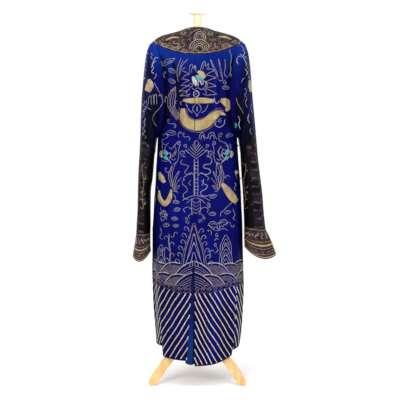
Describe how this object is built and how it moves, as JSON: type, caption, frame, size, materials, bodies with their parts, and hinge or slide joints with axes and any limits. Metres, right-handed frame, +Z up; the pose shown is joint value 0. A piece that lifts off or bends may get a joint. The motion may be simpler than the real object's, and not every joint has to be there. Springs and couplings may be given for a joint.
{
  "type": "dragon robe on dress form",
  "caption": "Long silk dragon robe with hoof cuffs and a yoke collar, slit at the back hem, worn open-hollow on a limbless dress form with a wooden tripod.",
  "frame": {"origin": "bottom centre of the bounding box, on the floor that the tripod stands on", "axes": "+Z up, the robe's back faces -Y, +X is the wearer's right"},
  "size_m": [0.612, 0.3695, 1.555],
  "materials": {
    "robe_silk": "blue silk satin, couched with silver and gold thread",
    "dark_silk": "dark ribbed silk with muted gold bands",
    "trim_brocade": "brown silk brocade with gold thread",
    "plain_silk": "plain bright blue silk",
    "linen_cover": "ivory linen stretched smooth",
    "pale_wood": "pale beech, satin varnish",
    "pole_steel": "brushed",
    "knot_brass": "polished cast button with a cord shank"
  },
  "bodies": {
    "root": {"back_left": "robe_silk", "back_right": "robe_silk", "cuff_left": "trim_brocade", "cuff_right": "trim_brocade", "finial": "pale_wood", "form_base": "pale_wood", "form_torso": "linen_cover", "front_outer": "robe_silk", "front_under": "robe_silk", "hub": "pale_wood", "knot_chest": "knot_brass", "knot_collarbone": "knot_brass", "knot_underarm": "knot_brass", "knot_waist": "knot_brass", "leg_1": "pale_wood", "leg_2": "pale_wood", "leg_3": "pale_wood", "loop_chest": "robe_silk", "loop_collarbone": "robe_silk", "loop_underarm": "robe_silk", "loop_waist": "robe_silk", "lower_sleeve_left": "dark_silk", "lower_sleeve_right": "dark_silk", "neck_cap": "pale_wood", "pole": "pole_steel", "slit_facing": "plain_silk", "upper_sleeve_left": "robe_silk", "upper_sleeve_right": "robe_silk", "yoke_collar": "trim_brocade"}
  },
  "joints": []
}
